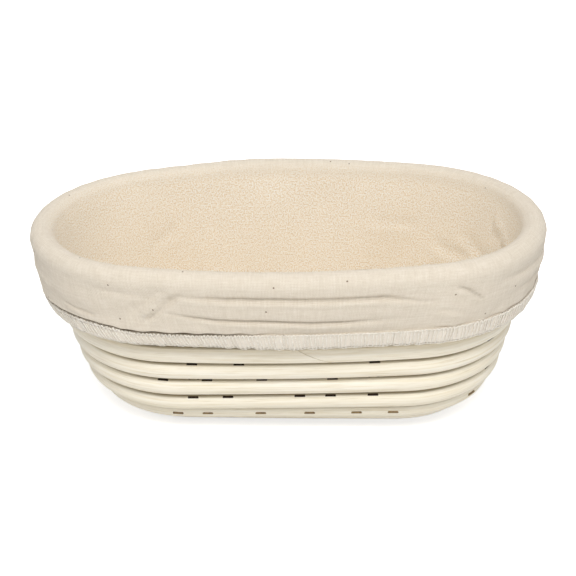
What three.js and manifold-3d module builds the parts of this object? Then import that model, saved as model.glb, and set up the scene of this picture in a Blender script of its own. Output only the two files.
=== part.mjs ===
// Oval proofing basket: a spiral of round rattan cane, pinned turn to turn with wire staples, and a
// sewn cloth liner that rolls over the rim and grips the outside of the wall with an elastic hem.
// Millimetres, +Z up, X along the basket, -Y its front. The origin is on the floor, under the middle.

import * as THREE from "three";
import { mergeVertices } from "three/addons/utils/BufferGeometryUtils.js";
import Module from "manifold-3d";

const wasm = await Module();
wasm.setup();

// Basket
const rimLength = 246; // over the cane
const rimWidth = 145.4;
const rimHeight = 94.05; // top of the cane, on the average round the rim
const wallLean = 14.2; // degrees from upright
const cornerRadius = 29.3; // from base to wall, on the centre of the cane
const rimBow = 5.8; // how far the long sides of the rim bulge past its end arcs
const baseBow = 0.2; // the same for the base
const baseShift = 3.6; // the hand-wound base sits this far right of the rim's middle

// Cane
const caneDiameter = 9.3;
const turnGap = 0.83; // from one turn to the next
const floorFlat = 0.5; // depth of the flat that the basket stands on
const tipTurns = 0.24; // stretch over which the last length is shaved away
const tipHeight = 1.2; // what is left of it at its end
const spliceLength = 20; // of the slanted cut where two lengths meet
const spliceGap = 0.8; // along the cane
const spliceMarks = [
  { turnsDown: 10, side: 0.5, mark: 0 },
  { turnsDown: 4, side: 0, mark: 11 },
  { turnsDown: 3, side: 0.5, mark: 0 },
]; // on the front (side 0) or the back (side 0.5); turns are counted down from the rim
const caneSides = 8;
const sideSteps = 4; // straight stretches along each long side
const endSteps = 10; // and round each end
const shortStep = 0.05; // share of a step below which no ring of the cane follows another

// Staples: marks, here as in the splices, are lengths along the cane from the middle of the front, or of
// the back, and a seat is the angle in degrees that the crown sits up the shoulder of its turn
const stapleWidth = 5.2;
const stapleLeg = 10.4;
const stapleWire = 1.1;
const stapleClearance = 0.3;
const stapleAim = 0.3; // how far outside the next turn's centre the legs point
const stapleSink = 0.15; // depth of the crown's face under the round of the cane
const stapleSeams = [
  { turnsDown: 5, seat: 74, marks: [-45.3, -23.5, 39, 99] },
  { turnsDown: 6, seat: 74, marks: [-59.5, -39.1, -13.5, 19.5] },
  { turnsDown: 7, seat: 68, marks: [-46.5, -30, 4, 18.5, 38.5, 101] },
  { turnsDown: 8, seat: 40, marks: [-54.5, -40.5, -15, 8.5, 31, 48.5, 89] },
];

// Liner
const clothThickness = 1;
const clothGap = 0.35; // from the cane to the cloth
const seamGap = 0.3; // between the base panel and the side band
const skirtFolds = [
  { drop: 6, puff: 0.8 },
  { drop: 10.5, puff: 1.9 },
  { drop: 14.5, puff: 1.3 },
  { drop: 19.5, puff: 3.2 },
]; // drops are measured down the wall from the middle of the rim cane
const hemTop = 21.3;
const hemBottom = 30.5;
const hemTuck = 22.5; // where the turned-in edge ends, behind the elastic
const elasticWidth = 6;
const elasticThickness = 1;
const elasticClearance = 0.3;
const gatherWaves = 7;
const gatherDepth = 0.5;
const cornerRows = 4; // rows of cloth round the turn from base to wall
const wallRows = 4; // and up the wall

// Worked out
const lean = THREE.MathUtils.degToRad(wallLean);
const caneRadius = caneDiameter / 2;
const pitch = caneDiameter + turnGap;
const coreHalf = (rimLength - rimWidth) / 2;
const lowHeight = caneRadius - floorFlat;
const cornerTurn = Math.PI / 2 - lean;
const wallRise = rimHeight - caneRadius - lowHeight - cornerRadius * (1 - Math.cos(cornerTurn));
const wallRun = wallRise / Math.cos(lean);
const cornerReach = rimWidth / 2 - caneRadius - wallRun * Math.sin(lean);
const flatReach = cornerReach - cornerRadius * Math.sin(cornerTurn);
const cornerEnd = flatReach + cornerRadius * cornerTurn;
const profileEnd = cornerEnd + wallRun;
const halfSteps = sideSteps + endSteps;
const stepsPerTurn = 2 * halfSteps;
const smallTurn = 0.25 / stepsPerTurn;
const sideTurn = sideSteps / stepsPerTurn; // share of a turn's steps on one long side
const frontMiddle = sideTurn / 2;
const startTurn = 0.5; // the core run starts at the right end and runs along the back
const sideClimb = coreHalf / (2 * coreHalf + Math.PI * flatReach); // share of a turn's climb there
const coreOffset = (pitch * (0.5 - sideClimb)) / 2 + baseBow; // a pitch from the run beside it
const spliceOverrun = 0.75 * spliceLength; // each length reaches past its slanted cut before it is cut
const clothBack = caneRadius + clothGap;
const clothFace = clothBack + clothThickness;
const elasticBack = clothFace + elasticClearance;
const hemBack = elasticBack + elasticThickness + elasticClearance;
const hemFace = hemBack + clothThickness;

const caneMaterial = new THREE.MeshStandardMaterial({ color: 0xe9ddc2, roughness: 0.55 });
const stapleMaterial = new THREE.MeshStandardMaterial({ color: 0x2b2620, roughness: 0.45, metalness: 0.8 });
const clothMaterial = new THREE.MeshStandardMaterial({ color: 0xeadfcb, roughness: 0.95 });
const elasticMaterial = new THREE.MeshStandardMaterial({ color: 0xf2efe6, roughness: 0.9 });

// The basket's half section: `along` runs from the middle of the base out to the rim
function profileAt(along) {
  if (along < flatReach) {
    return { reach: along, height: lowHeight, slope: 0 };
  }
  if (along < cornerEnd) {
    const slope = (along - flatReach) / cornerRadius;
    const reach = flatReach + cornerRadius * Math.sin(slope);
    return { reach, height: lowHeight + cornerRadius * (1 - Math.cos(slope)), slope };
  }
  const climb = along - cornerEnd;
  const height = lowHeight + cornerRadius * (1 - Math.cos(cornerTurn)) + climb * Math.cos(lean);
  return { reach: cornerReach + climb * Math.sin(lean), height, slope: cornerTurn };
}

function bowAt(along) {
  return baseBow + ((rimBow - baseBow) * Math.max(0, along - cornerEnd)) / wallRun;
}

// A level oval of four arcs, in stations. A turn runs along the front, round the right end, along the
// back and round the left end; its second half is the first one turned about Z.
function outlineAt(station, reach, bow) {
  const step = THREE.MathUtils.euclideanModulo(station, halfSteps);
  const side = THREE.MathUtils.euclideanModulo(station, stepsPerTurn) < halfSteps ? 1 : -1;
  const endRadius = reach - bow;
  const endCentre = coreHalf + bow;
  const flare = 2 * Math.atan(bow / endCentre);
  let angle;
  let x;
  let y;
  if (step < sideSteps) {
    const sideRadius = endRadius + endCentre / Math.sin(flare);
    angle = flare * ((2 * step) / sideSteps - 1) - Math.PI / 2;
    x = sideRadius * Math.cos(angle);
    y = endCentre / Math.tan(flare) + sideRadius * Math.sin(angle);
  } else {
    angle = (Math.PI / 2 - flare) * ((2 * (step - sideSteps)) / endSteps - 1);
    x = endCentre + endRadius * Math.cos(angle);
    y = endRadius * Math.sin(angle);
  }
  return { x: side * x, y: side * y, outX: side * Math.cos(angle), outY: side * Math.sin(angle) };
}

// A point on the basket's centre surface, with the directions out of it and up it
function stationFrame(station, along) {
  const { reach, height, slope } = profileAt(along);
  const { x, y, outX, outY } = outlineAt(station, reach, bowAt(along));
  const level = Math.cos(slope);
  const steep = Math.sin(slope);
  return {
    point: new THREE.Vector3(x + baseShift * (1 - height / rimHeight), y, height),
    outward: new THREE.Vector3(steep * outX, steep * outY, -level),
    upward: new THREE.Vector3(level * outX, level * outY, steep),
  };
}

// Between stations everything runs straight
function frameAt(turn, along) {
  const station = Math.floor(turn * stepsPerTurn);
  const share = turn * stepsPerTurn - station;
  const frame = stationFrame(station, along);
  const next = stationFrame(station + 1, along);
  for (const key of ["point", "outward", "upward"]) {
    frame[key].lerp(next[key], share);
  }
  return frame;
}

function offsetPoint(frame, out, up) {
  return frame.point.clone().addScaledVector(frame.outward, out).addScaledVector(frame.upward, up);
}

// Takes a share of a turn to another measure, which gives each long side `to` instead of `from`
function remeasure(value, from, to) {
  const half = Math.floor(value * 2) / 2;
  const past = value - half;
  return half + (past < from ? (past / from) * to : to + ((past - from) / (0.5 - from)) * (0.5 - to));
}

// The spiral moves out by one pitch a turn, evenly along the length of a base turn
function alongAt(turn) {
  return coreOffset + pitch * (remeasure(turn, sideTurn, sideClimb) - startTurn);
}

// The shaved end lies as far above the rim's average as the rim drops below it past the tip
const rimTurn = remeasure((profileEnd - coreOffset) / pitch + startTurn, sideClimb, sideTurn);
const endTurn = rimTurn + (1 + tipTurns) / 2;

function spiralFrame(turn) {
  return frameAt(turn, alongAt(turn));
}

function stretchAt(turn) {
  return spiralFrame(turn + smallTurn).point.sub(spiralFrame(turn - smallTurn).point);
}

function directionAt(turn) {
  return stretchAt(turn).normalize();
}

// Length of cane in one whole turn at the speed that it has here
function speedAt(turn) {
  return stretchAt(turn).length() / (2 * smallTurn);
}

// What is left of the cane's height where its last stretch is shaved away
function shaveAt(turn) {
  const left = Math.min(1, (endTurn - turn) / tipTurns);
  const tip = tipHeight / caneDiameter;
  return tip + (1 - tip) * left;
}

function sectionOffsets(shave) {
  const offsets = [];
  for (let side = 0; side < caneSides; side++) {
    const angle = (side * 2 * Math.PI) / caneSides;
    const up = caneRadius * (Math.sin(angle) + 1) * shave - caneRadius;
    offsets.push({ out: caneRadius * Math.cos(angle), up });
  }
  return offsets;
}

function caneRing(turn) {
  const frame = spiralFrame(turn);
  return sectionOffsets(shaveAt(turn)).map(({ out, up }) => offsetPoint(frame, out, up));
}

// A closed skin over rings of points: a tube with end caps, or a ring that closes on itself
function skinGeometry(rings, closed) {
  const size = rings[0].length;
  const faces = [];
  const last = closed ? rings.length : rings.length - 1;
  for (let ring = 0; ring < last; ring++) {
    const here = ring * size;
    const next = ((ring + 1) % rings.length) * size;
    for (let side = 0; side < size; side++) {
      const beside = (side + 1) % size;
      faces.push(here + side, next + side, next + beside, here + side, next + beside, here + beside);
    }
  }
  const end = (rings.length - 1) * size;
  for (let side = 1; !closed && side < size - 1; side++) {
    faces.push(0, side, side + 1, end, end + side + 1, end + side);
  }
  const geometry = new THREE.BufferGeometry().setFromPoints(rings.flat());
  return geometry.setIndex(faces);
}

function solidFrom(geometry) {
  const bare = geometry.clone();
  bare.deleteAttribute("normal");
  bare.deleteAttribute("uv");
  const merged = mergeVertices(bare);
  const vertProperties = merged.getAttribute("position").array;
  const triVerts = new Uint32Array(merged.index.array);
  return new wasm.Manifold(new wasm.Mesh({ numProp: 3, vertProperties, triVerts }));
}

function geometryFrom(solid) {
  const mesh = solid.getMesh();
  const geometry = new THREE.BufferGeometry();
  geometry.setAttribute("position", new THREE.BufferAttribute(mesh.vertProperties, 3));
  geometry.setIndex(new THREE.BufferAttribute(mesh.triVerts, 1));
  geometry.computeVertexNormals();
  return geometry;
}

// Staples
function stapleGeometry() {
  const half = stapleWidth / 2;
  const inner = half - stapleWire;
  const outline = new THREE.Shape();
  outline.moveTo(-half, 0);
  outline.lineTo(-half, -stapleLeg);
  outline.lineTo(-inner, -stapleLeg);
  outline.lineTo(-inner, -stapleWire);
  outline.lineTo(inner, -stapleWire);
  outline.lineTo(inner, -stapleLeg);
  outline.lineTo(half, -stapleLeg);
  outline.lineTo(half, 0);
  const geometry = new THREE.ExtrudeGeometry(outline, { depth: stapleWire, bevelEnabled: false });
  return geometry.translate(0, 0, -stapleWire / 2);
}

// The slot that a staple makes in the canes
function slotGeometry() {
  const room = 2 * stapleClearance;
  const slot = new THREE.BoxGeometry(stapleWidth + room, stapleLeg + room, stapleWire + room);
  return slot.translate(0, -stapleLeg / 2, 0);
}

// The crown lies along its turn and the legs run through it into the turn below
function stapleMatrix({ turn, seat }) {
  const frame = spiralFrame(turn);
  const below = spiralFrame(turn - 1);
  const ahead = directionAt(turn);
  const angle = THREE.MathUtils.degToRad(seat);
  const reach = caneRadius - stapleSink;
  const crown = offsetPoint(frame, reach * Math.cos(angle), reach * Math.sin(angle));
  const back = crown.clone().sub(offsetPoint(below, stapleAim, 0));
  back.addScaledVector(ahead, -back.dot(ahead)).normalize();
  const across = ahead.clone().cross(back);
  return new THREE.Matrix4().makeBasis(ahead, back, across).setPosition(crown);
}

function staplePlaces() {
  const places = [];
  for (const { turnsDown, seat, marks } of stapleSeams) {
    for (const side of [0, 0.5]) {
      for (const mark of marks) {
        places.push({ turn: markedTurn(turnsDown, side, mark), seat });
      }
    }
  }
  return places;
}

function markedTurn(turnsDown, side, mark) {
  return walkSpiral(Math.round(rimTurn) - turnsDown + frontMiddle + side, mark);
}

// The turn that lies a given length along the cane from another
function walkSpiral(from, length) {
  const pace = Math.sign(length) / stepsPerTurn;
  let turn = from;
  let left = Math.abs(length);
  while (left > 0) {
    const step = spiralFrame(turn).point.distanceTo(spiralFrame(turn + pace).point);
    turn += pace * Math.min(1, left / step);
    left -= step;
  }
  return turn;
}

// Canes
function caneSolid(from, to) {
  const rings = [caneRing(from)];
  const first = Math.floor(from * stepsPerTurn + shortStep) + 1;
  const last = Math.ceil(to * stepsPerTurn - shortStep) - 1;
  for (let station = first; station <= last; station++) {
    rings.push(caneRing(station / stepsPerTurn));
  }
  rings.push(caneRing(to));
  return solidFrom(skinGeometry(rings, false));
}

// A block whose face is the slanted cut of a splice: the cane's underside runs on past its top
function spliceBlock(turn, side) {
  const { point, outward, upward } = spiralFrame(turn);
  const slant = directionAt(turn).multiplyScalar(spliceLength / 2).addScaledVector(upward, -caneRadius);
  outward.normalize();
  slant.addScaledVector(outward, -slant.dot(outward)).normalize();
  const across = outward.clone().cross(slant);
  const thickness = 2 * caneDiameter;
  const block = new THREE.BoxGeometry(thickness, 2 * spliceLength, thickness);
  block.translate(0, 0, (side * thickness) / 2);
  const place = new THREE.Matrix4().makeBasis(outward, slant, across).setPosition(point);
  return solidFrom(block.applyMatrix4(place));
}

function canePieces() {
  const splices = spliceMarks.map(({ turnsDown, side, mark }) => markedTurn(turnsDown, side, mark));
  const names = ["base_cane", "lower_wall_cane", "middle_wall_cane", "rim_cane"];
  return names.map((name, index) => {
    const before = splices[index - 1];
    const after = splices[index];
    const from = before ? before - spliceOverrun / speedAt(before) : startTurn;
    const to = after ? after + spliceOverrun / speedAt(after) : endTurn;
    let solid = caneSolid(from, to);
    if (before) {
      solid = solid.subtract(spliceBlock(before + spliceGap / speedAt(before), -1));
    }
    if (after) {
      solid = solid.subtract(spliceBlock(after, 1));
    }
    return { name, solid };
  });
}

// The least distance between points of the cane's centre line a turn or so apart, less the cane
function leastGap() {
  const pointsPerStep = 3;
  const points = [];
  for (let row = 0; row < (endTurn - startTurn) * stepsPerTurn * pointsPerStep; row++) {
    points.push(spiralFrame(startTurn + row / stepsPerTurn / pointsPerStep).point);
  }
  const apart = (stepsPerTurn * pointsPerStep) / 3;
  let least = Infinity;
  points.forEach((point, index) => {
    for (let other = 0; other < index - apart; other++) {
      least = Math.min(least, point.distanceTo(points[other]));
    }
  });
  return least - caneDiameter;
}

// Liner
// The middle of the highest cane at a station, eased over the end of the spiral
function rimAlong(station) {
  const places = [-1, 0, 1].map((step) => {
    const share = THREE.MathUtils.euclideanModulo((station + step) / stepsPerTurn, 1);
    const turn = Math.floor(endTurn - share) + share;
    return alongAt(turn) - caneRadius * (1 - shaveAt(turn));
  });
  return Math.max(...places);
}

// Points across the band, each a place along the section and a distance out of the cane's centre
function bandSection(station) {
  const rim = rimAlong(station);
  const gather = gatherDepth * Math.cos((2 * Math.PI * gatherWaves * station) / stepsPerTurn);
  const deepest = skirtFolds[skirtFolds.length - 1].drop;
  const layer = (distance) => {
    const rows = [{ along: flatReach + seamGap / 2, out: -distance }];
    for (let row = 1; row <= cornerRows; row++) {
      rows.push({ along: flatReach + (cornerRadius * cornerTurn * row) / cornerRows, out: -distance });
    }
    for (let row = 1; row < wallRows; row++) {
      rows.push({ along: cornerEnd + ((rim - cornerEnd) * row) / wallRows, out: -distance });
    }
    for (let side = caneSides / 2; side >= 0; side--) {
      const angle = (side * 2 * Math.PI) / caneSides;
      rows.push({ along: rim + distance * Math.sin(angle), out: distance * Math.cos(angle) });
    }
    for (const { drop, puff } of skirtFolds) {
      rows.push({ along: rim - drop, out: distance + puff + (gather * drop) / deepest });
    }
    return rows;
  };
  const hem = [
    { along: rim - hemTop, out: hemFace },
    { along: rim - hemBottom, out: hemFace },
    { along: rim - hemBottom, out: clothBack },
    { along: rim - hemTuck, out: clothBack },
    { along: rim - hemTuck, out: clothFace },
    { along: rim - hemBottom + clothThickness, out: clothFace },
    { along: rim - hemBottom + clothThickness, out: hemBack },
    { along: rim - hemTop, out: hemBack },
  ];
  return [...layer(clothBack), ...hem.reverse(), ...layer(clothFace).reverse()];
}

function elasticSection(station) {
  const low = rimAlong(station) - hemBottom + clothThickness + elasticClearance;
  return [
    { along: low, out: elasticBack },
    { along: low, out: elasticBack + elasticThickness },
    { along: low + elasticWidth, out: elasticBack + elasticThickness },
    { along: low + elasticWidth, out: elasticBack },
  ];
}

function sweptRing(section) {
  const rings = [];
  for (let station = 0; station < stepsPerTurn; station++) {
    const turn = station / stepsPerTurn;
    rings.push(section(station).map(({ along, out }) => offsetPoint(frameAt(turn, along), out, 0)));
  }
  return skinGeometry(rings, true);
}

function panelGeometry() {
  const points = [];
  for (let station = 0; station < stepsPerTurn; station++) {
    const { x, y } = stationFrame(station, flatReach - seamGap / 2).point;
    points.push(new THREE.Vector2(x, y));
  }
  return new THREE.ExtrudeGeometry(new THREE.Shape(points), { depth: clothThickness, bevelEnabled: false });
}

function addMesh(group, name, geometry, material) {
  const mesh = new THREE.Mesh(geometry, material.clone());
  mesh.name = name;
  group.add(mesh);
  return mesh;
}

const staples = staplePlaces();
const slots = staples
  .map((staple) => solidFrom(slotGeometry().applyMatrix4(stapleMatrix(staple))))
  .reduce((joined, slot) => joined.add(slot));
const underFloor = solidFrom(
  new THREE.BoxGeometry(2 * rimLength, 2 * rimWidth, rimHeight).translate(0, 0, -rimHeight / 2),
);

const basket = new THREE.Group();
for (const { name, solid } of canePieces()) {
  addMesh(basket, name, geometryFrom(solid.subtract(slots).subtract(underFloor)), caneMaterial);
}
staples.forEach((staple, index) => {
  const name = "staple_" + String(index + 1).padStart(2, "0");
  const mesh = addMesh(basket, name, stapleGeometry(), stapleMaterial);
  mesh.applyMatrix4(stapleMatrix(staple));
});

const liner = new THREE.Group();
addMesh(liner, "liner_base_panel", panelGeometry(), clothMaterial).position.z = lowHeight + clothBack;
addMesh(liner, "liner_side_band", sweptRing(bandSection), clothMaterial);
addMesh(liner, "hem_elastic", sweptRing(elasticSection), elasticMaterial);

const proofingBasket = new THREE.Group();
proofingBasket.add(basket, liner);

console.log("least gap of the cane to itself: " + leastGap().toFixed(2) + " mm");

export default proofingBasket;
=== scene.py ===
"""An oval proofing basket of wound cane with its gathered cloth liner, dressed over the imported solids.

Metres, +Z up, X along the basket, -Y its front. Lengths below are written in millimetres.
"""

import math

import bmesh
import bpy
import numpy as np
from mathutils import Matrix, Quaternion, Vector


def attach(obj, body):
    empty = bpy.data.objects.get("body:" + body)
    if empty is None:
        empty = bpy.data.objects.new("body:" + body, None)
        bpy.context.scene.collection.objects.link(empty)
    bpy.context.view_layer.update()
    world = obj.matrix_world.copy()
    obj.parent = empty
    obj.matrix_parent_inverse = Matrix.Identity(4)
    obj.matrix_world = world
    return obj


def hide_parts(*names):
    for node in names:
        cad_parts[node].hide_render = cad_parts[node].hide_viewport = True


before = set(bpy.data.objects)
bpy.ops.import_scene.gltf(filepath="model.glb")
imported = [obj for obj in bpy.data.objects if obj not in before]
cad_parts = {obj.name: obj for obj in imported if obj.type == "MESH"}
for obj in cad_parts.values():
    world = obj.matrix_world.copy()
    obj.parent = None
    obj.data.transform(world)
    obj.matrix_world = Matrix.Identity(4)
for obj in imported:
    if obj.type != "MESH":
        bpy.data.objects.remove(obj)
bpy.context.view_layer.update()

MM = 0.001
RNG = np.random.default_rng(41)

# Basket and cane, as the solids have them
RIM_LENGTH = 246
RIM_WIDTH = 145.4
RIM_HEIGHT = 94.05
LEAN = math.radians(14.2)
CORNER_RADIUS = 29.3
RIM_BOW = 5.8
BASE_BOW = 0.2
BASE_SHIFT = 3.6
CANE_RADIUS = 4.65
TURN_GAP = 0.83
FLOOR_FLAT = 0.5
TIP_TURNS = 0.24
TIP_HEIGHT = 1.2
SPLICE_LENGTH = 20
SPLICE_GAP = 0.6
# Splices: turns down from the rim, front (0) or back (0.5), length along the cane from the middle there
SPLICES = ((10, 0.5, 0), (4, 0, 11), (3, 0.5, 0))
SIDE_STEPS = 4
END_STEPS = 10

PITCH = 2 * CANE_RADIUS + TURN_GAP
CORE_HALF = (RIM_LENGTH - RIM_WIDTH) / 2
LOW_HEIGHT = CANE_RADIUS - FLOOR_FLAT
CORNER_TURN = math.pi / 2 - LEAN
WALL_RISE = RIM_HEIGHT - CANE_RADIUS - LOW_HEIGHT - CORNER_RADIUS * (1 - math.cos(CORNER_TURN))
WALL_RUN = WALL_RISE / math.cos(LEAN)
CORNER_REACH = RIM_WIDTH / 2 - CANE_RADIUS - WALL_RUN * math.sin(LEAN)
FLAT_REACH = CORNER_REACH - CORNER_RADIUS * math.sin(CORNER_TURN)
CORNER_END = FLAT_REACH + CORNER_RADIUS * CORNER_TURN
PROFILE_END = CORNER_END + WALL_RUN
HALF_STEPS = SIDE_STEPS + END_STEPS
TURN_STEPS = 2 * HALF_STEPS
SIDE_TURN = SIDE_STEPS / TURN_STEPS
START_TURN = 0.5
SIDE_CLIMB = CORE_HALF / (2 * CORE_HALF + math.pi * FLAT_REACH)
CORE_OFFSET = PITCH * (0.5 - SIDE_CLIMB) / 2 + BASE_BOW


def remeasure(value, old, new):
    """Takes a share of a turn to another measure, which gives each long side `new` instead of `old`."""
    value = np.asarray(value, float)
    half = np.floor(value * 2) / 2
    past = value - half
    on_end = new + (past - old) / (0.5 - old) * (0.5 - new)
    return half + np.where(past < old, past / old * new, on_end)


RIM_TURN = float(remeasure((PROFILE_END - CORE_OFFSET) / PITCH + START_TURN, SIDE_CLIMB, SIDE_TURN))
END_TURN = RIM_TURN + (1 + TIP_TURNS) / 2


def along_at(turn):
    """How far up the basket's half section the spiral is."""
    return CORE_OFFSET + PITCH * (remeasure(turn, SIDE_TURN, SIDE_CLIMB) - START_TURN)


def frames_at(turn, along):
    """Points on the centre surface of the wall, with the directions out of it and up it."""
    turn, along = np.broadcast_arrays(np.asarray(turn, float), np.asarray(along, float))
    slope = np.clip((along - FLAT_REACH) / CORNER_RADIUS, 0, CORNER_TURN)
    climb = np.maximum(along - CORNER_END, 0)
    reach = np.minimum(along, FLAT_REACH) + CORNER_RADIUS * np.sin(slope) + climb * math.sin(LEAN)
    height = LOW_HEIGHT + CORNER_RADIUS * (1 - np.cos(slope)) + climb * math.cos(LEAN)
    bow = BASE_BOW + (RIM_BOW - BASE_BOW) * climb / WALL_RUN
    step = (turn % 1) * TURN_STEPS
    side = np.where(step < HALF_STEPS, 1.0, -1.0)
    step = step % HALF_STEPS
    end_radius = reach - bow
    end_centre = CORE_HALF + bow
    flare = 2 * np.arctan(bow / end_centre)
    side_radius = end_radius + end_centre / np.sin(flare)
    side_angle = flare * (2 * step / SIDE_STEPS - 1) - math.pi / 2
    end_angle = (math.pi / 2 - flare) * (2 * (step - SIDE_STEPS) / END_STEPS - 1)
    on_side = step < SIDE_STEPS
    angle = np.where(on_side, side_angle, end_angle)
    radius = np.where(on_side, side_radius, end_radius)
    x = np.where(on_side, 0, end_centre) + radius * np.cos(angle)
    y = np.where(on_side, end_centre / np.tan(flare), 0) + radius * np.sin(angle)
    out_x, out_y = side * np.cos(angle), side * np.sin(angle)
    level, steep = np.cos(slope), np.sin(slope)
    point = np.stack([side * x + BASE_SHIFT * (1 - height / RIM_HEIGHT), side * y, height], -1)
    outward = np.stack([steep * out_x, steep * out_y, -level], -1)
    upward = np.stack([level * out_x, level * out_y, steep], -1)
    return point, outward, upward


def place(turn, along, out):
    """Points that lie a distance out of the wall's centre surface."""
    point, outward, _ = frames_at(turn, along)
    return point + np.asarray(out)[..., None] * outward


def spiral(turn):
    return frames_at(turn, along_at(turn))


# Ways of working


def clear_selection():
    bpy.ops.object.select_all(action="DESELECT")


def take(piece):
    clear_selection()
    piece.select_set(True)
    bpy.context.view_layer.objects.active = piece


def pick(piece, kind, rule):
    """Selects the parts of a piece in edit mode that a rule names."""
    bpy.ops.mesh.select_mode(type=kind)
    bpy.ops.mesh.select_all(action="DESELECT")
    shape = bmesh.from_edit_mesh(piece.data)
    parts = {"VERT": shape.verts, "EDGE": shape.edges, "FACE": shape.faces}[kind]
    for part in parts:
        if rule(part):
            part.select_set(True)
    shape.select_flush_mode()
    bmesh.update_edit_mesh(piece.data)


def apply_modifier(piece, kind, **settings):
    take(piece)
    modifier = piece.modifiers.new(kind.lower(), kind)
    for key, value in settings.items():
        setattr(modifier, key, value)
    bpy.ops.object.modifier_apply(modifier=modifier.name)


def points_of(piece):
    flat = np.empty(len(piece.data.vertices) * 3)
    piece.data.vertices.foreach_get("co", flat)
    return flat.reshape(-1, 3)


def move_points(piece, points):
    piece.data.vertices.foreach_set("co", np.asarray(points, np.float32).ravel())
    piece.data.update()


def store(piece, name, values):
    """Keeps a number or a vector for each point of a piece, under a name that its finish reads."""
    values = np.asarray(values, np.float32)
    kind, field = ("FLOAT", "value") if values.ndim == 1 else ("FLOAT_VECTOR", "vector")
    piece.data.attributes.new(name, kind, "POINT").data.foreach_set(field, values.ravel())


def finish_piece(piece, name, material, body, slot, *nodes):
    piece.name = name
    piece.data.name = name
    piece.data.materials.clear()
    piece.data.materials.append(material)
    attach(piece, body)
    if nodes:
        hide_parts(*nodes)
    return piece


# Finishes


class Finish:
    """A node material that is put together one node at a time."""

    def __init__(self, name):
        self.material = bpy.data.materials.new(name)
        self.material.use_nodes = True
        self.nodes = self.material.node_tree.nodes
        self.links = self.material.node_tree.links
        self.shader = self.nodes["Principled BSDF"]

    def add(self, kind, inputs=None, **settings):
        made = self.nodes.new("ShaderNode" + kind)
        for key, value in settings.items():
            setattr(made, key, value)
        for key, value in (inputs or {}).items():
            socket = made.inputs[key]
            if isinstance(value, bpy.types.NodeSocket):
                self.links.new(value, socket)
            else:
                socket.default_value = value
        return made

    def shade(self, **inputs):
        for key, value in inputs.items():
            socket = self.shader.inputs[key.replace("_", " ")]
            if isinstance(value, bpy.types.NodeSocket):
                self.links.new(value, socket)
            else:
                socket.default_value = value

    def math(self, operation, a, b=0.0):
        return self.add("Math", {0: a, 1: b}, operation=operation).outputs[0]

    def noise(self, vector, scale, detail, roughness):
        inputs = {"Vector": vector, "Scale": scale, "Detail": detail, "Roughness": roughness}
        return self.add("TexNoise", inputs).outputs[0]

    def stretch(self, vector, scale):
        return self.add("Mapping", {"Vector": vector, "Scale": scale}).outputs[0]

    def ramp(self, value, *stops):
        made = self.add("ValToRGB", {0: value})
        bar = made.color_ramp.elements
        while len(bar) < len(stops):
            bar.new(0.5)
        for stop, (position, colour) in zip(bar, stops):
            stop.position = position
            stop.color = colour
        return made.outputs[0]

    def mix(self, share, a, b, blend="MIX"):
        made = self.add("Mix", {0: share, 6: a, 7: b}, data_type="RGBA", blend_type=blend)
        return made.outputs[2]

    def bump(self, height, strength, distance, normal=None):
        inputs = {"Height": height, "Strength": strength, "Distance": distance}
        if normal:
            inputs["Normal"] = normal
        return self.add("Bump", inputs).outputs[0]


def paint(code):
    """A linear colour from the hexadecimal code that a screen shows."""
    shares = [int(code[i : i + 2], 16) / 255 for i in (0, 2, 4)]
    return tuple(c / 12.92 if c <= 0.04045 else ((c + 0.055) / 1.055) ** 2.4 for c in shares) + (1,)


def grey(value):
    return (value, value, value, 1)


def cane_finish():
    """Peeled rattan: pale, with fibres that run along it."""
    look = Finish("peeled_cane")
    straight = look.add("Attribute", attribute_name="straight").outputs["Vector"]
    streaks = look.noise(look.stretch(straight, (26, 900, 900)), 1, 4, 0.6)
    fibres = look.noise(look.stretch(straight, (60, 3200, 3200)), 1, 2, 0.5)
    patches = look.noise(look.stretch(straight, (14, 60, 60)), 1, 2, 0.5)
    body = look.ramp(streaks, (0.30, paint("E7DBC0")), (0.50, paint("F5EDDB")), (0.75, paint("FBF6E9")))
    tinted = look.mix(look.ramp(patches, (0.35, grey(0)), (0.7, grey(0.45))), body, paint("EFE6D0"))
    pores = look.ramp(fibres, (0.30, paint("BFAC85")), (0.42, grey(1)))
    grained = look.mix(0.3, tinted, pores, "MULTIPLY")
    groove_shade_mask = look.add("Attribute", attribute_name="groove_shade_mask").outputs["Fac"]
    # painted shade, with some dust, darkens the sides of each turn that face the grooves between turns
    groove_shade_and_dust = look.ramp(groove_shade_mask, (0.87, grey(0)), (0.985, grey(0.85)))
    look.shade(
        Base_Color=look.mix(groove_shade_and_dust, grained, paint("86744C")),
        Roughness=look.ramp(streaks, (0.3, grey(0.62)), (0.7, grey(0.44))),
        Normal=look.bump(fibres, 0.35, 0.0003, look.bump(streaks, 0.3, 0.0005)),
        Specular_IOR_Level=0.4,
    )
    return look.material


def staple_finish():
    """Blackened steel wire with a little rust."""
    look = Finish("staple_wire")
    here = look.add("TexCoord").outputs["Object"]
    wear = look.noise(here, 900, 4, 0.6)
    black = look.ramp(wear, (0.35, paint("1E1812")), (0.62, paint("3B2C1E")))
    rust = look.add("Attribute", attribute_name="rust").outputs["Fac"]
    look.shade(
        Base_Color=look.mix(rust, black, look.ramp(wear, (0.35, paint("6A5334")), (0.6, paint("9A8258")))),
        Metallic=look.add("MapRange", {0: rust, 3: 0.7, 4: 0.1}).outputs[0],
        Roughness=look.ramp(wear, (0.3, grey(0.38)), (0.7, grey(0.6))),
        Normal=look.bump(wear, 0.2, 0.0002),
    )
    return look.material


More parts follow.
